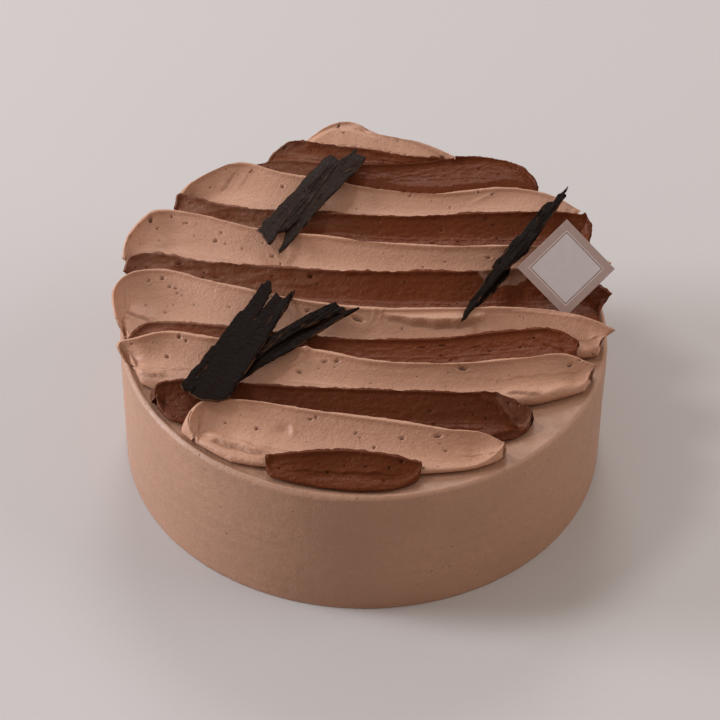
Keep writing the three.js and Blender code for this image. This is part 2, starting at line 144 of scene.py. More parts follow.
stroke("light_2", bulge=17, tip=0.5, hollow=2.1, drop=(4.6, 4.7), crease=0.54, crest=[(-71.5, -20.5, 2),
    (-74, -16.5, 5.5), (-67.5, -16, 8), (-60, -14, 8.5), (-48, -16, 8.5), (-21, -19.5, 8.5), (2, -25.5, 8.5),
    (25.5, -26, 8.5), (46.5, -23.5, 8.5), (59.5, -21, 8), (69.5, -24, 6.5)],
    pits=[(-55.5, -15.3, 0.7, 0.5), (-53.5, -16.4, 0.45, 0.4), (-59, -20.2, 0.8, 0.5, -15),
    (-63.3, -16.6, 0.3, 0.25), (29.3, -26.9, 1.9, 0.42), (61.6, -23.1, 1.2, 0.35, 12),
    (64.5, -22.6, 0.9, 0.3, -15), (-19.3, -26.3, 1.1, 0.5, -25), (-11.6, -24.2, 1.2, 0.35),
    (-8, -24.5, 1.0, 0.4)], peaks=[(-17.2, -20.6, 1.2, 0.9)], swells=[(-22.5, -24.4, 3.2, 0.5, 25, 0.3),
    (-62.2, -31.2, 2.6, 1.0, -10, -0.7), (59, -31, 7, 2.2, 32, 0.7)],
    folds=[(-68.6, -27.0, -58.6, -29.6, 1.3, 2.0), (41, -33.3, 53.5, -34.2, 1.1, 1.6),
    (38, -29.2, 69, -23.2, 0.4, 3.0), (-25, -26, -17.4, -22.2, 0.35, 2.2),
    (-70, -24.6, -50, -25.6, 0.3, 1.5)])
stroke("dark_2", bulge=14, dim=0.34, hollow=1.15, drop=(4.0, 4.9), crease=0.5, crest=[(-61, -36.5, 2.5),
    (-61, -34, 5), (-55, -33.2, 6.2), (-30.5, -34.5, 6.5), (-1, -36.2, 6.7), (28.5, -36.8, 6.8),
    (40.5, -37.6, 6.6), (49.5, -43, 5.5)],
    pits=[(19.5, -41.9, 1.3, 0.3), (32.3, -42.3, 0.4, 0.35), (36.1, -43.2, 0.4, 0.35), (30, -39.9, 0.6, 0.25),
    (46, -40, 0.35, 0.3)], swells=[(44, -48, 3.4, 0.5, 30, 0.45), (-52, -39, 3, 1.4, 0, 0.4)],
    peaks=[(48.6, -41.6, 0.9, 0.9), (44.5, -39.2, 0.8, 0.6)], smears=[(45.5, -42.2, 8.5, 2.6, -40, 0.42)],
    folds=[(33, -37.0, 47.5, -46.0, 1.3, 3.4), (34, -52.0, 46.5, -46.8, 1.4, 2.0),
    (14, -46.4, 42, -47.6, 0.4, 1.8)])
stroke("light_1", bulge=10.5, tip=0.55, hollow=2.3, drop=(5.2, 5.4), crease=0.66, crest=[(-49, -53, 2),
    (-50.5, -48.5, 6), (-46.5, -43.5, 8), (-36, -42.5, 8), (-18.5, -46, 8), (2, -49.5, 7.5), (22.5, -53, 7.5),
    (34, -54, 7), (41, -57, 6)],
    pits=[(-40.2, -48.2, 0.7, 0.35), (-31, -50.1, 0.7, 0.5), (21.7, -54.4, 1.5, 0.4), (11.4, -54.3, 1.0, 0.4),
    (-13.7, -48.2, 0.45, 0.4), (3.3, -56.5, 0.5, 0.45), (-2, -52.5, 0.8, 0.3, 20)],
    swells=[(-23, -50.8, 2.2, 1.4, 0, -0.6), (-20.4, -50.9, 0.8, 1.4, 20, 0.6),
    (-44.5, -51.6, 2.2, 0.8, -15, 0.5), (-33.5, -56.8, 2.2, 0.7, -25, 0.5)],
    folds=[(-46.5, -53.6, -26.5, -61.0, 1.9, 3.0), (-40, -58.6, -27, -62.6, 0.4, 1.2),
    (26, -58.4, 40, -58.8, 0.5, 1.2)])
stroke("dark_1", bulge=9.5, dim=0.16, hollow=1.2, drop=(3.6, 3.6), crease=0.6, crest=[(-28, -62, 4),
    (-19.5, -62, 5.5), (-5, -61, 5.5), (8, -62.5, 5.5), (17, -64.5, 4.5)],
    pits=[(-24, -65.3, 0.35, 0.3), (-12.5, -64.6, 0.35, 0.3), (-10.1, -66.5, 0.55, 0.35),
    (-5.3, -65, 0.3, 0.3), (7.7, -65.5, 0.5, 0.4), (11.1, -64, 0.9, 0.35, -10)],
    peaks=[(-27, -62.2, 1.0, 0.7)], folds=[(-26, -66.2, 15, -67.4, 0.6, 1.6)])

# near, far: a flake's ends, as x, y and height over the body's top. outline: its broken edge, with x along
# the flake and y to its left. rough: how deep the grooves are. steps: from x, y to x, y, and how much
# higher the left side stands. slits: cracks. bend: how uneven it lies. under: how far below it a strip
# lies, and that strip's outline.
flake("back_narrow", near=(-26.9, 24.4, 8.9), far=(-2.1, 65.5, 17.6), rough=0.5, outline=[(-1.3, -1),
    (-0.5, -0.2), (4, 0.7), (8, 2.2), (12, 2.3), (22, 2.2), (28, 2), (33, 2), (39, 2.2), (41.3, 3),
    (44.5, 1.6), (49, 0.9), (46, 0), (46.2, -3.9), (43.5, -4.3), (38.5, -4.1), (34.3, -3.3), (29.8, -3.1),
    (24.2, -2.4), (17.5, -2), (11.5, -1.8), (5.8, -1.7), (1.2, -1.6)], steps=[(36, -1.5, 45, -3.2, 0.35),
    (10, 0.4, 30, 0.2, 0.3)], slits=[(37, -1.2, 42, -3)])
flake("back_wide", near=(-32.4, 29.6, 10.6), far=(-10.5, 65.4, 14.8), rough=0.6, outline=[(0.2, 0),
    (1.2, 2.8), (3.2, 2), (5, 3.1), (7.4, 2.9), (8, 2.2), (11.3, 2.4), (16.7, 2.1), (21.1, 1.6), (27.4, 1.9),
    (30.5, 2), (35.8, 1.2), (36.8, 1.8), (41.2, 0.8), (40.5, -4), (33.2, -5.2), (27.2, -5.9), (20.1, -6.2),
    (14.5, -6.3), (9.3, -6.2), (5.6, -5.8), (3.3, -4), (0.5, -4.6), (-2.2, -4.8), (-2.3, -3.7), (-1.2, -2)],
    steps=[(40, -1.7, 22, -1.3, 0.75), (23, -1.8, 3, -3.4, 0.5), (34, -3.9, 12, -5.4, 0.3)],
    slits=[(24, -1.2, 21.5, -2.2)])
flake("front_wide", near=(-49.1, -40.6, 9), far=(-28.9, 4, 11.2), rough=0.22, outline=[(-1.6, 1), (-1.2, 3.6),
    (0.1, 5.2), (3.2, 4.9), (9.5, 4.7), (10, 4.2), (15.3, 4.3), (18.5, 4.3), (19.2, 3.7), (28.2, 3.8),
    (35.5, 3.4), (36.3, 2.8), (42.7, 2.7), (49, 2.9), (49.4, 2.2), (51.2, 1.8), (51, 0.4), (47.4, -1.3),
    (42, -1.9), (38.7, -2.5), (43, -2.7), (47.4, -3.1), (46.2, -4.6), (45.4, -6.2), (50.2, -7.2),
    (45.7, -8.4), (40.9, -8.6), (30.3, -9.4), (19.4, -10), (8.5, -10.2), (3, -10.6), (0.4, -10.4),
    (-1.9, -8.3), (-2.7, -4.5), (-2.4, -1)], steps=[(40, -6.2, 33, -6.9, 0.3)], slits=[(4, 2.5, 12.5, 1.6),
    (-2.6, 0.5, 1.5, 0.4), (33, -2.4, 39.5, -2.5)])
flake("front_splinter", near=(-28.2, -12.6, 9.4), far=(-20.5, 4.7, 10.9), rough=0.4, outline=[(0, -0.3),
    (5.6, -1.2), (10.2, -1), (14.2, -0.7), (18.6, 0.4), (13.9, 0.2), (10.1, 0.5), (5.6, 0.3), (1, 0.6)])
flake("middle_wide", near=(-36.9, -36.2, 8.3), far=(-6.8, -2.7, 11.2), rough=1.0, outline=[(-0.7, 0.3),
    (3, 2), (9, 3.9), (11.7, 5.4), (14.8, 6.4), (19, 6.5), (22.7, 6), (27.8, 5.3), (32.7, 4.4), (37.7, 3.5),
    (43.7, 1.5), (43.2, -0.6), (44, -2.2), (43.6, -3.4), (37.2, -1.2), (29.2, 0.9), (22.9, 1.9), (16.6, 2.4),
    (8.1, 2.2), (3, 0.9)], slits=[(10, 3.4, 20, 3.2), (14.4, 4.4, 26.3, 4), (24, 2.9, 34, 1.2)])
flake("middle_narrow", near=(-36.8, -36.4, 7.8), far=(-6.4, -2.7, 10.8), rough=0.7, outline=[(-0.6, 0.9),
    (0, 2), (8.5, 4.1), (17, 4.1), (23.3, 3.5), (29.6, 2.4), (37.6, -0.3), (43, -2.6), (47.4, -5.3),
    (42.7, -4.6), (36.1, -3.3), (30.9, -2.7), (25.4, -2.4), (20.4, -1.7), (15.8, -0.6), (10.7, 0),
    (5.4, 0.3)], slits=[(30, 1.6, 42, -2.6)])
flake("right", near=(29.3, -7.4, 8.9), far=(62.3, 50.9, 14.1), rough=1.0, outline=[(-0.9, -0.4), (3.7, 1),
    (8.9, 1.4), (14.7, 1.5), (20.9, 2), (24, 2), (24.6, 2.7), (28.9, 3), (29.3, 2.5), (35.8, 2.5), (41, 2.3),
    (41.4, 1.8), (48, 1.8), (53, 1.5), (56.5, 1.5), (59.1, 0.9), (60.2, -0.5), (63.7, -0.1), (64.8, -0.8),
    (68.8, -1.3), (66.5, -1.9), (65.2, -1.8), (64.6, -2.8), (60.6, -2.9), (56, -3.2), (51.3, -3.1),
    (45.2, -3.4), (39.1, -3.5), (36.2, -3.9), (30.7, -3), (27.3, -2.3), (21.8, -1.4), (17.6, -1.2),
    (12.5, -0.9), (7.2, -1), (1.3, -1)], bend=0.2, steps=[(60, -1, 44, -1.7, 0.8), (44, -1.4, 26, -0.7, 0.6),
    (12, 0.8, 36, 1.6, 0.35)], slits=[(49, 0.2, 57, 0.9), (28, 2.2, 35, 2)], under=(1.9, [(31, 1),
    (29.7, -1.3), (26.5, -2.8), (20.2, -2.3), (16, -2.1), (13, -1.7), (9.5, -0.8), (5.7, 0), (12, 1),
    (20, 1.4)]))


# ---- Noise ----
LATTICE = 32
NOISE_START = 1000.0  # keeps every place on the lattice positive


def places(x, y=0.0, z=0.0):
    """Points (n, 3) to take noise at."""
    return np.stack(np.broadcast_arrays(x, y, z), axis=1)


def noise(points, cell, seed):
    """Smooth noise between -1 and 1 at points (n, 3); cell is the size of a lump along x, y and z."""
    lattice = np.random.default_rng(seed).uniform(-1, 1, (LATTICE,) * 3)
    place = points / np.asarray(cell, float) + NOISE_START
    low = np.floor(place).astype(int)
    part = place - low
    part = part * part * (3 - 2 * part)
    total = np.zeros(len(points))
    for corner in np.ndindex(2, 2, 2):
        weight = np.where(corner, part, 1 - part).prod(axis=1)
        total += weight * lattice[tuple(((low + corner) % LATTICE).T)]
    return total


def rough_noise(points, cell, seed, octaves=3):
    """Noise with finer and weaker copies of itself added."""
    cell = np.asarray(cell, float)
    return sum(noise(points, cell / 2**k, seed + k) / 2**k for k in range(octaves))


def ease(low, high, value):
    """0 up to low, 1 from high on, and a smooth rise between."""
    part = np.clip((value - low) / (high - low), 0, 1)
    return part * part * (3 - 2 * part)


def bell(value, width):
    """1 where the value is 0, falling off smoothly over the width."""
    return np.exp(-(value / width) ** 2)


def fade(place, length, over):
    """0 at both ends of a length, 1 from over in."""
    return ease(0, over, place) * ease(0, over, length - place)


def seen_from(plan, x, y, turn=0):
    """Plan points seen from x, y with the first axis turned by turn degrees."""
    across, up = plan[..., 0] - x, plan[..., 1] - y
    cosine, sine = math.cos(math.radians(turn)), math.sin(math.radians(turn))
    return across * cosine + up * sine, up * cosine - across * sine


def seen_along(plan, x0, y0, x1, y1):
    """Plan points seen from a line's start along it, and the line's length."""
    along, aside = seen_from(plan, x0, y0, math.degrees(math.atan2(y1 - y0, x1 - x0)))
    return along, aside, math.hypot(x1 - x0, y1 - y0)


def seed_of(name):
    return sum(map(ord, name))


# ---- Meshes ----
def grid_normals(grid):
    """Unit normals, inward here, of a grid of points (rows, columns, 3) whose columns close on themselves."""
    across = (np.roll(grid, -1, axis=1) - np.roll(grid, 1, axis=1)) / 2
    normals = np.cross(np.gradient(grid, axis=0), across)
    length = np.linalg.norm(normals, axis=2, keepdims=True)
    return normals / np.maximum(length, 1e-12)


def grid_faces(rows, columns):
    """Quads of such a grid, which face outward on the coat and the strokes."""
    row, column = np.meshgrid(np.arange(rows - 1), np.arange(columns), indexing="ij")
    corner, following = row * columns, (column + 1) % columns
    quads = [corner + following, corner + columns + following, corner + columns + column, corner + column]
    return np.stack(quads, axis=-1).reshape(-1, 4).tolist()


def into_scene(name, data):
    """A new object in the scene for a mesh, a light or a camera."""
    item = bpy.data.objects.new(name, data)
    bpy.context.scene.collection.objects.link(item)
    return item


def add_piece(name, points, faces, material, replaced, attributes=None):
    """Makes a smooth mesh from points in millimetres, rides it on the body and hides its solid."""
    mesh = bpy.data.meshes.new(name)
    mesh.from_pydata((points * MM).tolist(), [], faces)
    for label, values in (attributes or {}).items():
        layer = mesh.attributes.new(label, "FLOAT", "POINT")
        layer.data.foreach_set("value", np.ascontiguousarray(values, np.float32))
    mesh.materials.append(material)
    mesh.shade_smooth()
    piece = into_scene(name, mesh)
    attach(piece, "root")
    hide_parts(replaced)
    return piece


# ---- Materials ----
class Nodes:
    """Short forms for building one material's node tree."""

    def __init__(self, name):
        self.material = bpy.data.materials.new(name)
        self.material.use_nodes = True
        self.tree = self.material.node_tree
        self.place = self.add("TexCoord", {}, "Object")

    def feed(self, socket, source):
        """Gives a socket a number, a vector, a colour without alpha, or another node's output."""
        if isinstance(source, bpy.types.NodeSocket):
            self.tree.links.new(source, socket)
        elif isinstance(source, tuple) and len(socket.default_value) == 4:
            socket.default_value = (*source, 1)
        else:
            socket.default_value = source

    def add(self, kind, inputs, output, **settings):
        """Adds a node with these inputs and settings, and gives the output of that name or number."""
        node = self.tree.nodes.new("ShaderNode" + kind)
        for label, value in settings.items():
            setattr(node, label, value)
        for label, source in inputs.items():
            self.feed(node.inputs[label], source)
        return node.outputs[output]

    def noise(self, scale, detail, roughness=0.5):
        inputs = {"Scale": scale, "Detail": detail, "Roughness": roughness, "Vector": self.place}
        return self.add("TexNoise", inputs, "Fac")

    def cells(self, scale):
        """How far each point is from the middle of the nearest cell."""
        return self.add("TexVoronoi", {"Scale": scale, "Vector": self.place}, "Distance")

    def ramp(self, source, low, first, high, second):
        """The first colour up to low, the second from high on, and a blend between."""
        blend = self.add("ValToRGB", {"Fac": source}, "Color")
        for element, position, color in zip(blend.node.color_ramp.elements, (low, high), (first, second)):
            element.position = position
            element.color = (*color, 1)
        return blend

    def span(self, source, low, high, to_low, to_high):
        """Brings the span from low to high to the one from to_low to to_high."""
        inputs = {"Value": source, "From Min": low, "From Max": high, "To Min": to_low, "To Max": to_high}
        return self.add("MapRange", inputs, "Result")

    def mix(self, factor, first, second):
        return self.add("Mix", {0: factor, 6: first, 7: second}, 2, data_type="RGBA")

    def math(self, operation, first, second):
        return self.add("Math", {0: first, 1: second}, 0, operation=operation)

    def attribute(self, name):
        return self.add("Attribute", {}, "Fac", attribute_name=name)

    def bump(self, height, strength, distance, *under):
        """A normal that follows the height, added to the bump under it."""
        inputs = {"Height": height, "Strength": strength, "Distance": distance}
        return self.add("Bump", {**inputs, **{"Normal": normal for normal in under}}, "Normal")

    def finish(self, **inputs):
        shader = self.tree.nodes["Principled BSDF"]
        for label, source in inputs.items():
            self.feed(shader.inputs[label.replace("_", " ")], source)
        return self.material


def tinted(color, factor):
    return tuple(channel * factor for channel in color)


LIGHT_CREAM = (0.478, 0.258, 0.169)
DARK_CREAM = (0.134, 0.034, 0.0115)
COAT_CREAM = (0.412, 0.231, 0.154)
SMEAR_AND_SHEEN_CREAM = (0.36, 0.215, 0.155)
WARM_GLOSS = (1, 0.72, 0.56)
CHOCOLATE_DARK = (0.0105, 0.0044, 0.0025)
CHOCOLATE_PALE = (0.021, 0.0105, 0.0068)
CHOCOLATE_DUST = (0.12, 0.07, 0.045)
CHOCOLATE_BROKEN = (0.15, 0.07, 0.036)


def cream_material(name, color, roughness, pore, soft, shine, rare=0.62, paints_shade=False, smear=None):
    """Cream: soft colour patches, grain and pores as fine bump, a few pin holes, roughness that varies.

    pore: depth of grain and pores. soft: how much light goes through. shine: how much it reflects.
    rare: how few pin holes, which get painted shade in them. Then whether to paint shade where the mesh says,
    and the colour of pale cream wiped over it, which also paints sheen where the mesh says.
    """
    nodes = Nodes(name)
    fine = nodes.noise(1500, 2)
    grain = nodes.noise(620, 5, 0.65)
    base = nodes.ramp(nodes.noise(38, 4), 0.3, tinted(color, 0.94), 0.7, tinted(color, 1.06))
    base = nodes.mix(nodes.span(fine, 0.35, 0.65, 0, 0.4), base, tinted(color, 0.84))
    base = nodes.mix(nodes.span(grain, 0.55, 0.75, 0, 0.35), base, tinted(color, 1.25))
    some = nodes.math("GREATER_THAN", nodes.noise(160, 1), rare)
    hole_with_painted_shade = nodes.math("MULTIPLY", nodes.span(nodes.cells(420), 0, 0.16, 1, 0), some)
    # pale cream smeared over it, and painted sheen, as much as the mesh says
    if smear:
        base = nodes.mix(nodes.attribute("smear"), base, smear)
    # painted shade, as much as the mesh says
    if paints_shade:
        base = nodes.mix(nodes.attribute("shade"), base, tinted(color, 0.3))
    relief = nodes.bump(grain, pore, 0.0002)
    relief = nodes.bump(fine, pore, 0.00016, relief)
    relief = nodes.bump(hole_with_painted_shade, 0.6, -0.0003, relief)
    # painted shade in the pin holes
    return nodes.finish(
        Base_Color=nodes.mix(hole_with_painted_shade, base, tinted(color, 0.25)),
        Roughness=nodes.span(nodes.noise(300, 3), 0.3, 0.7, roughness - 0.07, roughness + 0.07),
        Normal=relief,
        Subsurface_Weight=soft,
        Subsurface_Radius=(1.0, 0.5, 0.3),
        Subsurface_Scale=0.0015,
        Specular_IOR_Level=shine,
        Specular_Tint=WARM_GLOSS if smear else (1, 1, 1),
    )


def chocolate_material(name, painted_light_level, shine):
    """Dark chocolate: warm near black, fine specks of dust, paler brown where it is broken; the colour is
    scaled by the given level of painted light, for lit and shaded copies.
    """
    nodes = Nodes(name)
    grain = nodes.noise(900, 4)
    dust = nodes.noise(2600, 2)
    base = nodes.ramp(grain, 0.3, tinted(CHOCOLATE_DARK, painted_light_level), 0.75, tinted(CHOCOLATE_PALE, painted_light_level))
    base = nodes.mix(nodes.span(dust, 0.66, 0.76, 0, 0.5), base, tinted(CHOCOLATE_DUST, painted_light_level))
    return nodes.finish(
        Base_Color=nodes.mix(nodes.attribute("edge"), base, CHOCOLATE_BROKEN),
        Roughness=nodes.span(grain, 0.3, 0.7, 0.42, 0.62),
        Normal=nodes.bump(dust, 0.5, 0.0001, nodes.bump(grain, 0.6, 0.0002)),
        Specular_IOR_Level=shine,
    )


def plain_material(name, color, roughness, speck):
    """Card or paper with faint specks."""
    nodes = Nodes(name)
    mottle = nodes.noise(700, 3)
    return nodes.finish(
        Base_Color=nodes.ramp(mottle, 0.3, tinted(color, 1 - speck), 0.7, tinted(color, 1 + speck)),
        Roughness=nodes.span(mottle, 0.3, 0.7, roughness - 0.05, roughness + 0.05),
    )


light_cream = cream_material("light_cream", LIGHT_CREAM, 0.52, 1.0, 0.03, 0.45, paints_shade=True)
dark_cream = cream_material("dark_cream", DARK_CREAM, 0.42, 1.0, 0.0, 0.28, 0.53, True, SMEAR_AND_SHEEN_CREAM)
coat_cream = cream_material("coat_cream", COAT_CREAM, 0.52, 0.7, 0.03, 0.5)
# A shaded and a lit copy of one chocolate: the copy for the flakes at the back is painted twice as pale, as
# painted sheen.
chocolate = chocolate_material("chocolate", 0.75, 0.07)
sheen_painted_chocolate = chocolate_material("sheen_painted_chocolate", 1.5, 0.16)


# ---- Body ----
AROUND = 640
EDGE_ROUND = 1.5
SHELF = 7  # width of the ring inside the rim whose mesh is finer
LIP_FROM_EDGE, SHELF_FROM_EDGE = 1.5, 4.2  # middle of the lip and of the hollow inside it
LIP_HIGHEST = math.radians(228)
BODY_INSET = 0.3  # keeps the relief within the solid


def body_profile():
    """Radius and height of points up the side, over the rounded rim and in to the middle of the top."""
    foot_turn = np.radians(np.linspace(-90, 0, 6))
    rim_turn = np.radians(np.linspace(0, 90, 9))
    side = np.linspace(FOOT_ROUND, BODY_HEIGHT - EDGE_ROUND, 56)[1:-1]
    shelf = np.linspace(BODY_RADIUS - EDGE_ROUND, BODY_RADIUS - SHELF, 18)[1:]
    top = np.linspace(BODY_RADIUS - SHELF, 0, 24)[1:-1]
    radius = [BODY_RADIUS - FOOT_ROUND + FOOT_ROUND * np.cos(foot_turn), np.full(len(side), BODY_RADIUS),
              BODY_RADIUS - EDGE_ROUND + EDGE_ROUND * np.cos(rim_turn), shelf, top]
    height = [FOOT_ROUND + FOOT_ROUND * np.sin(foot_turn), side,
              BODY_HEIGHT - EDGE_ROUND + EDGE_ROUND * np.sin(rim_turn),
              np.full(len(shelf) + len(top), BODY_HEIGHT)]
    return np.concatenate(radius), np.concatenate(height)


def rim_relief(angle, out, height):
    """The lip that the scraper left along the rim, highest at the front left, and the hollow inside it."""
    around = places(angle * BODY_RADIUS, 0, 3.0)
    lip = 0.14 + 0.2 * np.clip(np.cos(angle - LIP_HIGHEST), 0, 1) ** 2 + 0.08 * noise(around, 16, 15)
    lip += 0.07 * rough_noise(around, 2.2, 16, 2)
    lip *= bell(out - BODY_RADIUS + LIP_FROM_EDGE, 0.6)
    hollow = 0.08 * bell(out - BODY_RADIUS + SHELF_FROM_EDGE, 1.6)
    return ease(BODY_HEIGHT - 2.5, BODY_HEIGHT - 0.3, height) * (lip - hollow)


def build_body():
    """The coat: rings from the foot up, with slow waves, scraper lines and grain."""
    radius, height = body_profile()
    turn = np.linspace(0, 2 * np.pi, AROUND, endpoint=False)
    grid = np.empty((len(radius), AROUND, 3))
    grid[:, :, 0] = radius[:, None] * np.cos(turn)
    grid[:, :, 1] = radius[:, None] * np.sin(turn)
    grid[:, :, 2] = height[:, None]
    flat = grid.reshape(-1, 3)
    angle, high = np.tile(turn, len(radius)), flat[:, 2]
    out = np.hypot(flat[:, 0], flat[:, 1])
    lines = places(angle * BODY_RADIUS, high)
    side = ease(0, 1.5, high) * ease(BODY_RADIUS - 6, BODY_RADIUS - 2, out)
    relief = 0.28 * noise(flat, 34, 11) + 0.07 * noise(lines, (30, 1.6, 9), 12) * side
    relief += 0.06 * rough_noise(flat, 2.4, 13) + 0.05 * noise(lines, (9, 0.9, 9), 17) * side
    relief += rim_relief(angle, out, high) - BODY_INSET
    inward = grid_normals(grid).reshape(-1, 3)
    flat = flat - inward * (relief * ease(0, 0.6, high))[:, None]
    last = (len(radius) - 1) * AROUND
    points = np.vstack([flat, [[0, 0, 0]], [[0, 0, flat[last:, 2].mean()]]])
    foot_center, top_center = len(points) - 2, len(points) - 1
    faces = grid_faces(len(radius), AROUND)
    for k in range(AROUND):
        after = (k + 1) % AROUND
        faces += [[after, k, foot_center], [last + k, last + after, top_center]]
    add_piece("coat", points, faces, coat_cream, "body")


build_body()


# ---- Strokes ----
STATION_STEP = 0.38
CURVE_STEPS = 60  # samples between two of a crest's points
FOOTPRINT_RADIUS = BODY_RADIUS - RIM_ROUND - 0.2
WALL_POINTS, FACE_POINTS, FRONT_POINTS = 14, 62, 12
WALL_CURVE = 1.6
FACE_CURVE = 1.45  # brings the face's points closer together near the crest
END_POINT = 0.4  # how pointed a stroke's ends are in plan
END_FADE = 4
FULL_WIDTH = 9  # a narrower face is shallower
LIP_FLAT, LIP_HEIGHT, LIP_WIDTH, LIP_TILT = 0.55, 0.45, 0.45, 0.28
CREASE_DEPTH = 0.2
LEAST_HEIGHT = 0.9
ROLL = 2.6


def crest_curve(controls):
    """Centripetal curve through the control points, densely sampled."""
    controls = np.asarray(controls, float)
    padded = np.vstack([2 * controls[0] - controls[1], controls, 2 * controls[-1] - controls[-2]])
    part = np.linspace(0, 1, CURVE_STEPS, endpoint=False)[:, None]
    samples = []
    for k in range(1, len(padded) - 2):
        p0, p1, p2, p3 = padded[k - 1:k + 3]
        d0, d1, d2 = (max(np.linalg.norm(b - a), 1e-6) ** 0.5 for a, b in ((p0, p1), (p1, p2), (p2, p3)))
        start = ((p1 - p0) / d0 - (p2 - p0) / (d0 + d1) + (p2 - p1) / d1) * d1
        finish = ((p2 - p1) / d1 - (p3 - p1) / (d1 + d2) + (p3 - p2) / d2) * d1
        square = -3 * p1 + 3 * p2 - 2 * start - finish
        cube = 2 * p1 - 2 * p2 + start + finish
        samples.append(p1 + start * part + square * part**2 + cube * part**3)
    return np.vstack([*samples, controls[-1:]])


def stations(curve):
    """Points at equal steps along a sampled curve, and how far along it they are."""
    lengths = np.concatenate([[0], np.cumsum(np.linalg.norm(np.diff(curve, axis=0), axis=1))])
    stops = np.linspace(0, lengths[-1], int(lengths[-1] / STATION_STEP))
    return np.stack([np.interp(stops, lengths, curve[:, k]) for k in range(3)], axis=1), stops


def side_of(line):
    """Unit vectors to the left of a line of points, from each of them."""
    run = np.gradient(line[:, :2], axis=0)
    run /= np.linalg.norm(run, axis=1, keepdims=True)
    return np.stack([-run[:, 1], run[:, 0]], axis=1)


def on_body(spots):
    """The spots, drawn in to the flat of the body's top."""
    distance = np.linalg.norm(spots, axis=1, keepdims=True)
    return spots * np.minimum(1, FOOTPRINT_RADIUS / np.maximum(distance, 1e-9))


def face_fall(t, drop, sizes, band):
    """How far the face has fallen at t, from 0 at the crest to 1 at the front edge."""
    upper = 1 - (1 - np.clip(t / sizes["crease"], 0, 1)) ** sizes["hollow"]
    lower = np.clip((t - sizes["crease"]) / (1 - sizes["crease"]), 0, 1) ** 2
    return drop * upper + band * lower


def front_edge(crest, sizes, wander, seed):
    """The stroke's front edge in plan, and how far along the stroke each station is, from 0 to 1."""
    corner, tip = crest[0, :2], crest[-1, :2]
    chord = tip - corner
    chord_length = np.linalg.norm(chord)
    chord /= chord_length
    along = np.linspace(0, 1, len(crest))
    reach = np.clip(((crest[:, :2] - corner) @ chord) / chord_length, 0, 1)
    progress = reach + (along - reach) * 0.05
    pointed = np.where(progress < 0.5, END_POINT, sizes.get("tip", END_POINT))
    forward = sizes["bulge"] * (4 * progress * (1 - progress) + 1e-4) ** pointed
    ahead = np.array([chord[1], -chord[0]])
    front = corner + chord * (progress * chord_length)[:, None] + ahead * forward[:, None]
    return on_body(front + ahead * (0.5 * noise(wander, 9, seed))[:, None]), progress


def stroke_grid(sizes, cream, seed):
    """Rings of points round the stroke's section, one at each station, and the stations' places."""
    crest, distance = stations(crest_curve(sizes["crest"]))
    wander = places(distance, 0, 5.0)
    ends = fade(distance, distance[-1], END_FADE)
    outward = side_of(crest)
    front, progress = front_edge(crest, sizes, wander, seed)
    high = (crest[:, 2] + 0.25 * noise(wander, 14, seed + 9) * ends)[:, None]
    ridge = crest[:, :2] + outward * (0.22 * noise(wander, 11, seed + 2) * ends)[:, None]
    back = on_body(ridge + outward * cream["back"])
    span = np.linalg.norm(front - ridge, axis=1)[:, None]
    fullness = np.minimum(1, span / FULL_WIDTH)
    top = BODY_HEIGHT + GAP

    rise = 1 - (1 - np.linspace(0, 1, WALL_POINTS, endpoint=False)) ** WALL_CURVE
    bow = 0.55 * np.sin(np.pi * rise) ** 0.8 + 0.36 * ease(0.75, 0.95, rise)
    wall = back[:, None] + (ridge - back)[:, None] * rise[:, None] + outward[:, None] * bow[:, None]
    wall_height = top + high * rise

    t = np.linspace(0, 1, FACE_POINTS) ** FACE_CURVE
    face = ridge[:, None] + (front - ridge)[:, None] * t[:, None]
    off = t * span
    flat_top = LIP_FLAT * fullness
    below = np.maximum(off - flat_top, 0)
    drop = np.interp(progress, (0, 1), sizes["drop"])[:, None]
    fall = face_fall(below / (span - flat_top), drop, sizes, cream["band"])
    fall += LIP_HEIGHT * (1 - bell(below, LIP_WIDTH))
    fall -= LIP_TILT * ease(0, LIP_FLAT, off) * bell(below, 0.3)
    fall -= CREASE_DEPTH * bell(off - sizes["crease"] * span, 0.4)
    left = high - fall * fullness - LEAST_HEIGHT
    face_height = LEAST_HEIGHT + np.logaddexp(0, left * 3) / 3
    edge = np.clip(1 - (span - off) / np.minimum(ROLL, 0.3 * span), 0, 1)
    face_height *= 1 - 0.4 * (1 - np.sqrt(1 - 0.96 * edge**2))

    down = np.linspace(0, 1, FRONT_POINTS + 1)[1:]
    lean = (front - ridge) / np.maximum(span, 1e-6)
    front_height = face_height[:, -1:]
    swell = 0.16 * front_height * np.sin(np.pi * down) - 0.5 * down**3
    foot = front[:, None] + lean[:, None] * swell[:, :, None]
    height = [wall_height, top + face_height, top + front_height * (1 - down)]
    grid = np.dstack([np.concatenate([wall, face, foot], axis=1), np.concatenate(height, axis=1)])
    return grid, distance


MAP_CELL, MAP_HALF = 0.5, 180
BARE, FREE = -1e3, 1e3  # heights where nothing lies, and where nothing presses
MARGIN, MARGIN_RISE = 7, 0.45  # behind a crest
CREST_AVERAGE = 11
UNDER = 0.7  # how far a covered stroke stays below the one over it


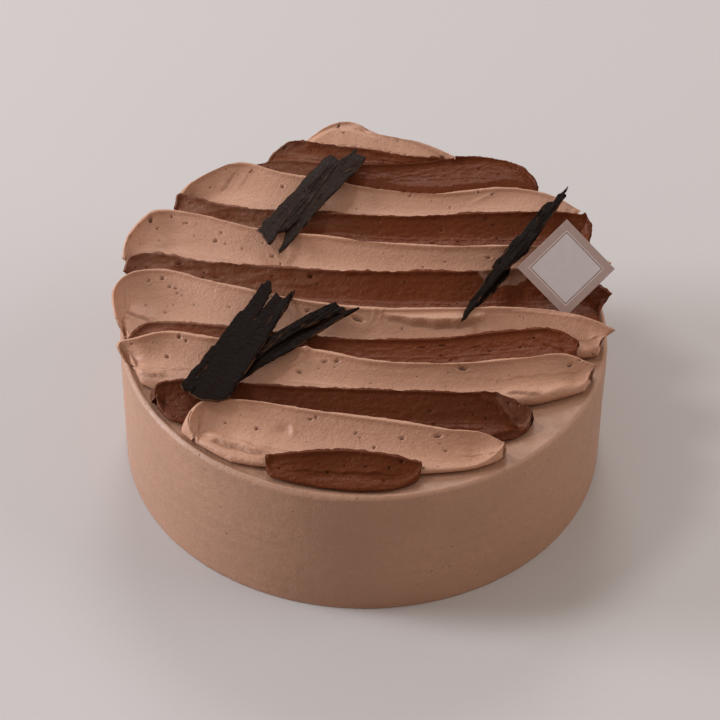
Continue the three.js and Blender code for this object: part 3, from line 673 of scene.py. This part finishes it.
def height_map(grid):
    """Top of a stroke's face over each cell of a plan map, rising smoothly with distance behind its crest."""
    side = 2 * MAP_HALF
    cells = np.full((side, side), BARE)
    flat = grid[:, WALL_POINTS:].reshape(-1, 3)
    place = np.floor(flat[:, :2] / MAP_CELL).astype(int) + MAP_HALF
    np.maximum.at(cells, (place[:, 0], place[:, 1]), flat[:, 2])
    padded = np.pad(cells, 1, constant_values=BARE)
    around = [padded[dx:dx + side, dy:dy + side] for dx in range(3) for dy in range(3)]
    cells = np.where(cells == BARE, np.max(around, axis=0), cells)

    crest = grid[::2, WALL_POINTS].copy()
    smooth = np.pad(crest[:, 2], CREST_AVERAGE // 2, mode="edge")
    crest[:, 2] = np.convolve(smooth, np.full(CREST_AVERAGE, 1 / CREST_AVERAGE), mode="valid")
    middle = (np.arange(side) - MAP_HALF + 0.5) * MAP_CELL
    closest = np.full((side, side), np.inf)
    level = np.zeros((side, side))
    for x, y, height in crest:
        off = np.hypot(middle[:, None] - x, middle - y)
        level = np.where(off < closest, height, level)
        closest = np.minimum(off, closest)
    margin = np.where(closest < MARGIN, level + MARGIN_RISE * closest, BARE)
    return np.where(cells == BARE, margin, cells)


def tuck_under(grid, laid_over):
    """Presses a stroke down to just under the strokes laid over it, wherever they cover it."""
    place = grid[:, :, :2] / MAP_CELL + MAP_HALF - 0.5
    low = np.floor(place).astype(int)
    part = place - low
    for cells in laid_over:
        limit = np.zeros(grid.shape[:2])
        free = np.zeros(grid.shape[:2], bool)
        for corner in np.ndindex(2, 2):
            value = cells[low[:, :, 0] + corner[0], low[:, :, 1] + corner[1]]
            limit += np.where(corner, part, 1 - part).prod(axis=2) * value
            free |= value == BARE
        limit = np.where(free, FREE, np.maximum(limit - UNDER, BODY_HEIGHT - 0.5))
        limit[:, :WALL_POINTS + 3] = FREE
        grid[:, :, 2] = np.minimum(grid[:, :, 2], limit)


def tear_crest(grid, distance, seed, torn):
    """Fine raggedness of the crest, fading within a couple of millimetres down the face and the wall."""
    wander = places(distance, 0, 5.0)
    ragged = torn * rough_noise(wander, 1.9, seed + 5) * fade(distance, distance[-1], END_FADE)
    ragged *= 0.4 + ease(-0.2, 0.6, noise(wander, 17, seed + 6))
    crest = grid[:, WALL_POINTS:WALL_POINTS + 1]
    near = np.exp(-(np.linalg.norm(grid - crest, axis=2) / 0.8) ** 1.5)
    grid[:, :, 2] += near * ragged[:, None]
    aside = 0.6 * torn * rough_noise(wander, 1.8, seed + 3, 2) * ease(0, 1.5, distance[-1] - distance)
    grid[:, :, :2] += near[:, :, None] * (side_of(crest[:, 0]) * aside[:, None])[:, None]


def mark_face(grid, marks):
    """Presses the named marks into the stroke's face; gives the painted shade at each point: in pits, along
    the foot of folds and of shelf edges.
    """
    plan = grid[:, :, :2]
    face, shade = np.zeros((2, *plan.shape[:2]))
    for x, y, length, width, *turn in marks.get("pits", ()):
        along, aside = seen_from(plan, x, y, *turn)
        off = np.hypot(along / length, aside / width)
        face -= width * 1.6 * (1 - ease(0.6, 1.1, off)) - 0.1 * bell(off - 1.35, 0.25)
        # painted shade inside the pit
        shade = np.maximum(shade, 0.85 * (1 - ease(0.4, 0.8, off)))
    for x, y, length, width, turn, height in marks.get("swells", ()):
        along, aside = seen_from(plan, x, y, turn)
        face += height * bell(along, length) * bell(aside, width)
    for *line, height, width in marks.get("folds", ()):
        along, aside, length = seen_along(plan, *line)
        aside = aside - 0.2 * np.sin(along * 0.9 + line[0]) - 0.06 * np.sin(along * 2.3 + line[1])
        near_line = fade(along, length, length * 0.25)
        face += height * ease(-0.2, 0.2, aside) * np.exp(-np.maximum(aside, 0) / width) * near_line
        # painted shade: a dark line along the foot of the fold
        dark = max(0, min(0.3, 0.5 * abs(height) - 0.25))
        shade = np.maximum(shade, dark * near_line * bell(aside + 0.35, 0.32))
    face[:, :WALL_POINTS + 1] = 0
    for x, y, radius, height in marks.get("peaks", ()):
        face += height * bell(np.hypot(*seen_from(plan, x, y)), radius)
    base = BODY_HEIGHT + GAP
    grid[:, :, 2] += face * ease(0, 1, grid[:, :, 2] - base)
    for x, y, half, depth, turn, height in marks.get("shelves", ()):
        along, aside = seen_from(plan, x, y, turn)
        edge = -depth * np.sqrt(np.clip(1 - (along / half) ** 2, 0, 1))
        aside = aside - edge + 0.2 * np.sin(along * 0.9)
        covered = ease(-0.3, 0.3, aside) * (np.abs(along) < half)
        covered[:, :WALL_POINTS + 1] = 0
        grid[:, :, 2] += covered * np.maximum(base + height - grid[:, :, 2], 0)
        # painted shade along the foot of the shelf's edge
        shade = np.maximum(shade, 0.3 * (np.abs(along) < half * 0.8) * bell(aside + 0.4, 0.3))
    shade[:, :WALL_POINTS + 1] = 0
    return shade


BUBBLES = 0.08  # for each millimetre of crest


def stroke_relief(grid, distance, seed, lumps):
    """How far the cream stands in or out at each point, and the painted shade in its small bubbles."""
    rows, columns = grid.shape[:2]
    flat = grid.reshape(-1, 3)
    across = np.linalg.norm(grid - grid[:, WALL_POINTS:WALL_POINTS + 1], axis=2)
    dragged = places(np.repeat(distance, columns), across.ravel())
    relief = 0.035 * noise(dragged, (30, 1.1, 9), seed + 20) + 0.16 * noise(flat, 10, seed + 22)
    relief += 0.04 * noise(flat, 3.2, seed + 25)
    relief += lumps * noise(dragged, (1.9, 0.9, 9), seed + 26)
    relief += lumps * 0.6 * rough_noise(flat, 0.8, seed + 23, 2)
    relief = relief.reshape(rows, columns)
    relief[:, :WALL_POINTS] *= 2.6
    ridges = 0.16 * noise(dragged, (14, 2.2, 9), seed + 27).reshape(rows, columns)
    relief[:, :WALL_POINTS] += ridges[:, :WALL_POINTS]
    shade = np.zeros((rows, columns))
    chance = np.random.default_rng(seed + 60)
    for _ in range(int(distance[-1] * BUBBLES)):
        middle = chance.uniform(2, distance[-1] - 2)
        aside = chance.uniform(0.8, 12)
        width = chance.uniform(0.2, 0.36)
        length = width * chance.uniform(1.0, 2.4)
        off = np.hypot((distance[:, None] - middle) / length, (across - aside) / width)
        off[:, :WALL_POINTS] = 9
        relief -= width * 1.2 * (1 - ease(0.6, 1.2, off))
        # painted shade inside the bubble
        shade = np.maximum(shade, 0.75 * (1 - ease(0.4, 1.0, off)))
    relief[:, [0, -1]] = 0
    return relief, shade


def smear_and_painted_sheen(grid, smears, seed):
    """How much pale cream colour goes over a dark stroke: thin streaks over its left and back part, partly
    real smears and partly painted sheen, and the named smears.
    """
    flat = grid.reshape(-1, 3)
    # streaks over the left and back part: partly real smears of pale cream, partly painted sheen of the light
    # from the left
    streaks = 0.5 + 0.5 * noise(flat, (9, 0.9, 9), seed + 80) + 0.35 * noise(flat, (2.5, 0.6, 9), seed + 81)
    amount = 0.5 * ease(10, -50, flat[:, 0]) * ease(-30, 5, flat[:, 1]) * np.clip(streaks, 0.2, 1)
    amount = amount.reshape(grid.shape[:2])
    for x, y, length, width, turn, share in smears:
        along, aside = seen_from(grid, x, y, turn)
        off = np.hypot(along / length, aside / width)
        off += 0.12 * rough_noise(flat, 2.2, seed + 82).reshape(off.shape)
        film = share * (1 - ease(0.86, 1.0, off)) * (0.35 + 0.35 * ease(0.5, 0.9, off))
        amount = np.maximum(amount, film)
    return amount


def build_stroke(name, sizes, laid_over):
    node = "stroke_" + name
    seed = seed_of(node)
    dark = name.startswith("dark")
    cream = CREAMS["dark" if dark else "light"]
    grid, distance = stroke_grid(sizes, cream, seed)
    tear_crest(grid, distance, seed, cream["torn"])
    relief, shade = stroke_relief(grid, distance, seed, cream["lumps"])
    grid = grid - grid_normals(grid) * relief[:, :, None]
    shade = np.maximum(shade, mark_face(grid, sizes))
    tuck_under(grid, laid_over)
    laid_over.append(height_map(grid))
    rows, columns = grid.shape[:2]
    last = (rows - 1) * columns
    ends = [list(range(columns)), list(range(last + columns - 1, last - 1, -1))]
    # The shade attribute is painted shade: in pits, bubbles, along the foot of folds and shelf edges, and
    # laid evenly over a whole stroke where its painted shade size says.
    attributes = {"shade": np.maximum(shade, sizes.get("dim", 0)).ravel()}
    # pale smears and painted sheen on dark strokes
    if dark:
        attributes["smear"] = smear_and_painted_sheen(grid, sizes.get("smears", ()), seed).ravel()
    add_piece("cream_" + name, grid.reshape(-1, 3), grid_faces(rows, columns) + ends,
              dark_cream if dark else light_cream, node, attributes)


def build_strokes():
    """Front to back, because each stroke lies under those in front of it."""
    laid_over = []
    for name in reversed(STROKES):
        build_stroke(name, STROKES[name], laid_over)


build_strokes()


# ---- Flakes ----
FLAKE_CELL = 0.27
OUTLINE_STEP = 0.5


def edges_of(outline):
    return zip(outline, np.roll(outline, -1, axis=0))


def inside(points, outline):
    """Which points (n, 2) lie in the outline."""
    x, y = points[:, 0], points[:, 1]
    found = np.zeros(len(points), bool)
    for (x0, y0), (x1, y1) in edges_of(outline):
        crosses = (y0 > y) != (y1 > y)
        with np.errstate(divide="ignore", invalid="ignore"):
            found ^= crosses & (x < (x1 - x0) * (y - y0) / (y1 - y0) + x0)
    return found


def nearest_on(points, outline):
    """Closest place on the outline to each point, and how far off it is."""
    best = np.full(len(points), np.inf)
    place = points.copy()
    for start, finish in edges_of(outline):
        edge = finish - start
        part = np.clip(((points - start) @ edge) / max(edge @ edge, 1e-9), 0, 1)
        spot = start + part[:, None] * edge
        gap = np.linalg.norm(points - spot, axis=1)
        closer = gap < best
        best[closer] = gap[closer]
        place[closer] = spot[closer]
    return place, best


def broken_outline(outline, seed):
    """The outline with its edges broken up finely."""
    fine = []
    for start, finish in edges_of(np.asarray(outline, float)):
        steps = max(1, int(np.linalg.norm(finish - start) / OUTLINE_STEP))
        fine.append(start + (finish - start) * np.linspace(0, 1, steps, endpoint=False)[:, None])
    fine = np.vstack(fine)
    spots = places(*fine.T)
    return fine + 0.15 * np.stack([rough_noise(spots, 1.2, seed), rough_noise(spots, 1.2, seed + 7)], axis=1)


def line_marks(plan, *ends):
    """How far each point lies to the left of a line, and how near it is to the line's middle stretch."""
    along, aside, length = seen_along(plan, *ends)
    return aside - 0.12 * np.sin(along * 1.3 + ends[0]), fade(along, length, length * 0.2)


def flake_plan(outline):
    """Points and quads that fill the outline, and the rim's edges; rim points are drawn onto the outline."""
    low, high = outline.min(0) - FLAKE_CELL, outline.max(0) + FLAKE_CELL
    xs, ys = (np.arange(low[k], high[k] + FLAKE_CELL, FLAKE_CELL) for k in (0, 1))
    plan = np.stack(np.meshgrid(xs, ys, indexing="ij"), axis=-1)
    centers = plan[:-1, :-1] + FLAKE_CELL / 2
    solid = inside(centers.reshape(-1, 2), outline).reshape(centers.shape[:2])
    plan = plan.reshape(-1, 2)
    columns = len(ys)
    corner = np.argwhere(solid) @ (columns, 1)
    quads = np.stack([corner, corner + columns, corner + columns + 1, corner + 1], axis=1)
    edges = {(a, b) for k in range(4) for a, b in quads[:, [k, (k + 1) % 4]].tolist()}
    rim = [(a, b) for a, b in edges if (b, a) not in edges]
    rim_points = np.unique(np.array(rim))
    plan[rim_points] = nearest_on(plan[rim_points], outline)[0]
    used = np.unique(quads)
    index = np.full(len(plan), -1)
    index[used] = np.arange(len(used))
    return plan[used], index[quads], [(index[a], index[b]) for a, b in rim]


def build_shard(piece_name, node, sizes, outline, drop, seed):
    """One thin piece: grooves along it, steps and slits on top, paler where it is broken."""
    outline = broken_outline(outline, seed)
    plan, quads, rim = flake_plan(outline)
    depth = nearest_on(plan, outline)[1]
    spots = places(*plan.T)
    rough = sizes["rough"]
    creases = np.abs(noise(spots, (15, 1, 9), seed + 30))
    creases += 0.5 * np.abs(noise(spots, (7, 0.55, 9), seed + 31))
    grooves = rough * 0.55 * (np.minimum(creases, 0.55) - 0.4)
    grooves += (0.15 + 0.2 * rough) * noise(spots, (24, 3.0, 9), seed + 32)
    grooves += 0.05 * rough_noise(spots, 0.9, seed + 33, 2)
    pale = 0.7 * (1 - ease(0.0, 0.22, depth)) * ease(-0.15, 0.4, noise(spots, 2.5, seed + 34))
    for *ends, height in () if drop else sizes.get("steps", ()):
        aside, near_line = line_marks(plan, *ends)
        grooves += height * near_line * ease(-0.15, 0.15, aside) * np.exp(-np.maximum(aside, 0) / 1.8)
        line = bell(aside, 0.2) * near_line * ease(-0.3, 0.3, noise(spots, 2.5, seed + 35))
        pale = np.maximum(pale, 0.35 * line)
    for ends in () if drop else sizes.get("slits", ()):
        aside, near_line = line_marks(plan, *ends)
        line = bell(aside, 0.2) * near_line
        grooves -= 0.5 * line
        pale = np.maximum(pale, 0.8 * line * ease(-0.6, 0.3, noise(spots, 2, seed + 36)))
    length = plan[:, 0].max() - plan[:, 0].min()
    bend = sizes.get("bend", 0.5) * noise(spots, (length * 0.6, 7, 9), seed + 40)
    round_off = 0.2 * (1 - ease(0, 0.4, depth))
    top = FLAKE_THICKNESS + grooves + bend - round_off - 0.15 - drop
    bottom = bend + 0.15 * rough_noise(spots, (14, 1.4, 9), seed + 50, 2) + round_off + 0.12 - drop
    top = np.maximum(top, bottom + 0.2)
    near, far = (Vector(sizes[end]) + Vector((0, 0, BODY_HEIGHT)) for end in ("near", "far"))
    run = (far - near).normalized()
    left = Vector((0, 0, 1)).cross(run).normalized()
    both = np.vstack([np.column_stack([plan, top]), np.column_stack([plan, bottom])])
    points = np.array(near) + both @ np.array([run, left, run.cross(left)])
    count = len(plan)
    faces = quads.tolist() + (quads[:, ::-1] + count).tolist()
    faces += [[b, a, a + count, b + count] for a, b in rim]
    # the flakes at the back take the copy with painted sheen
    material = sheen_painted_chocolate if "back" in node else chocolate
    add_piece(piece_name, points, faces, material, node, {"edge": np.concatenate([pale] * 2)})


def build_flake(name, sizes):
    node, piece_name = "flake_" + name, "chocolate_" + name
    seed = seed_of(node)
    build_shard(piece_name, node, sizes, sizes["outline"], 0, seed)
    if "under" in sizes:
        drop, outline = sizes["under"]
        build_shard(piece_name + "_under", node, sizes, outline, drop, seed + 100)


for flake_name, flake_sizes in FLAKES.items():
    build_flake(flake_name, flake_sizes)


# ---- Card ----
CARD_EDGE = 0.08  # bevel
CARD_FINISHES = [  # name, colour, roughness and how speckled
    ("card_border", (0.37, 0.265, 0.235), 0.4, 0.04),
    ("card_pale_line", (0.62, 0.52, 0.49), 0.4, 0.03),
    ("card_line", (0.17, 0.11, 0.095), 0.4, 0.03),
    ("card_field", (0.515, 0.45, 0.44), 0.38, 0.025),
]
BORDER, PALE, LINE, FIELD = range(4)
HALF_SIDE, HALF_THICK = CARD_SIDE / 2, CARD_THICKNESS / 2
CARD_RINGS = [  # half side and level of each square ring, from the back to the front, and the finish in it
    (HALF_SIDE - CARD_EDGE, -HALF_THICK, BORDER), (HALF_SIDE, CARD_EDGE - HALF_THICK, BORDER),
    (HALF_SIDE, HALF_THICK - CARD_EDGE, BORDER), (HALF_SIDE - CARD_EDGE, HALF_THICK, BORDER),
    (8.2, HALF_THICK, PALE), (8.02, HALF_THICK, BORDER), (7.78, HALF_THICK, LINE), (7.6, HALF_THICK, FIELD),
]


def build_card():
    """A square plate on its corner, leaning back, with a border and thin lines round a bare field."""
    lean = math.radians(CARD_LEAN)
    up = np.array([0, math.sin(lean), math.cos(lean)])
    facing = np.array([0, -math.cos(lean), math.sin(lean)])
    right = np.array([1.0, 0, 0])
    x_axis, y_axis = (right + up) / math.sqrt(2), (up - right) / math.sqrt(2)
    x, y, height = CARD_BOTTOM_CORNER
    center = np.array([x, y, BODY_HEIGHT + height]) + up * CARD_SIDE / math.sqrt(2)
    points = [center + x_axis * half * sx + y_axis * half * sy + facing * level
              for half, level, _ in CARD_RINGS for sx, sy in ((-1, -1), (1, -1), (1, 1), (-1, 1))]
    faces, finishes = [[3, 2, 1, 0]], [BORDER]
    for ring, (_, _, finish) in enumerate(CARD_RINGS[:-1]):
        for k in range(4):
            first, after = 4 * ring + k, 4 * ring + (k + 1) % 4
            faces.append([first, after, after + 4, first + 4])
            finishes.append(finish)
    faces.append([len(points) - 4 + k for k in range(4)])
    finishes.append(FIELD)
    materials = [plain_material(*finish) for finish in CARD_FINISHES]
    piece = add_piece("card_plate", np.array(points), faces, materials[BORDER], "card")
    for material in materials[1:]:
        piece.data.materials.append(material)
    for polygon, finish in zip(piece.data.polygons, finishes):
        polygon.material_index = finish
        polygon.use_smooth = False


build_card()


# ---- Floor, light and camera, in metres ----
FLOOR_HALF = 4.0
LIGHT_TARGET = Vector((0, 0, 0.04))
LIGHTS = [  # name, place, size, power and colour
    ("key", (-1.60, 0.1, 0.5), 0.6, 22.8, (0.82, 0.895, 1.0)),
    ("window", (-1.0, 0.2, 1.5), 0.4, 6.4, (0.87, 0.93, 1.0)),
    ("fill", (1.4, 0.0, 0.9), 1.2, 7.3, (0.95, 0.97, 1.0)),
    ("back", (0, 1.5, 1.3), 0.7, 8.8, (0.89, 0.94, 1.0)),
]
SKY_COLOR, SKY_STRENGTH = (1.0, 0.92, 0.84, 1), 0.40
LENS, SENSOR = 129.6, 36  # in millimetres
TILT, TURN = math.radians(90 - 42.32), math.radians(0.85)  # from straight down, and about the view
LOOK_AT = (-0.0152, 0.4729, 0)  # in body radii, as the distance is
CAMERA_DISTANCE = 11.382


def build_floor():
    mesh = bpy.data.meshes.new("floor")
    corners = [(FLOOR_HALF * x, FLOOR_HALF * y, 0) for x, y in ((-1, -1), (1, -1), (1, 1), (-1, 1))]
    mesh.from_pydata(corners, [], [(0, 1, 2, 3)])
    mesh.materials.append(plain_material("floor_paper", (0.522, 0.477, 0.458), 0.9, 0.01))
    floor = into_scene("floor", mesh)


def build_lights():
    """A pale warm sky, and four round lamps turned to the cake."""
    world = bpy.data.worlds.new("studio")
    world.use_nodes = True
    background = world.node_tree.nodes["Background"]
    background.inputs["Color"].default_value = SKY_COLOR
    background.inputs["Strength"].default_value = SKY_STRENGTH
    bpy.context.scene.world = world
    for name, place, size, power, color in LIGHTS:
        light = bpy.data.lights.new(name, "AREA")
        light.shape = "DISK"
        light.size = size
        light.energy = power
        light.color = color
        lamp = into_scene(name, light)
        lamp.location = place
        lamp.rotation_euler = (LIGHT_TARGET - Vector(place)).to_track_quat("-Z", "Y").to_euler()


def build_camera():
    """A long lens in front, looking down."""
    camera = bpy.data.cameras.new("camera")
    camera.sensor_width = SENSOR
    camera.lens = LENS
    holder = into_scene("camera", camera)
    turned = Matrix.Rotation(TILT, 4, "X") @ Matrix.Rotation(TURN, 4, "Z")
    place = Vector(LOOK_AT) + turned.col[2].xyz * CAMERA_DISTANCE
    holder.matrix_world = Matrix.Translation(place * BODY_RADIUS * MM) @ turned
    bpy.context.scene.camera = holder


build_floor()
build_lights()
build_camera()
bpy.context.scene.view_settings.view_transform = "Standard"
bpy.context.scene.view_settings.look = "Medium High Contrast"
